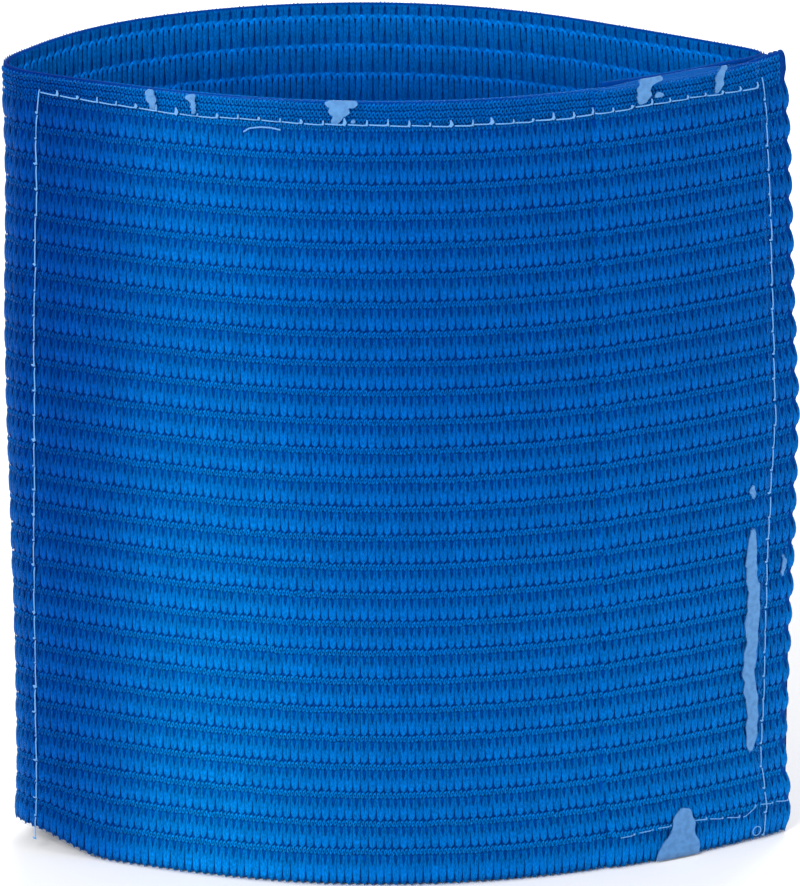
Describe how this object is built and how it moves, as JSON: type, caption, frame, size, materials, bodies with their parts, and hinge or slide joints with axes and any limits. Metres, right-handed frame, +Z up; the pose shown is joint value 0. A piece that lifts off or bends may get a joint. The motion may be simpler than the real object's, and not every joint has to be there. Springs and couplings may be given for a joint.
{
  "type": "elastic armband with a clear pocket",
  "caption": "Wide tube of ribbed knitted elastic, lapped and sewn at one side, with a clear film pocket sewn over its front and open at the bottom.",
  "frame": {"origin": "middle of the base of the bounding box, on the surface that the band stands on", "axes": "+Z up along the tube, the front with the film faces -Y, +X to the right as seen from the front"},
  "size_m": [0.132, 0.0564, 0.1382],
  "materials": {
    "elastic": "matt ribbed knit, blue",
    "film": "clear soft plastic film, glossy"
  },
  "bodies": {
    "root": {"elastic_band": "elastic", "window_film": "film"}
  },
  "joints": []
}
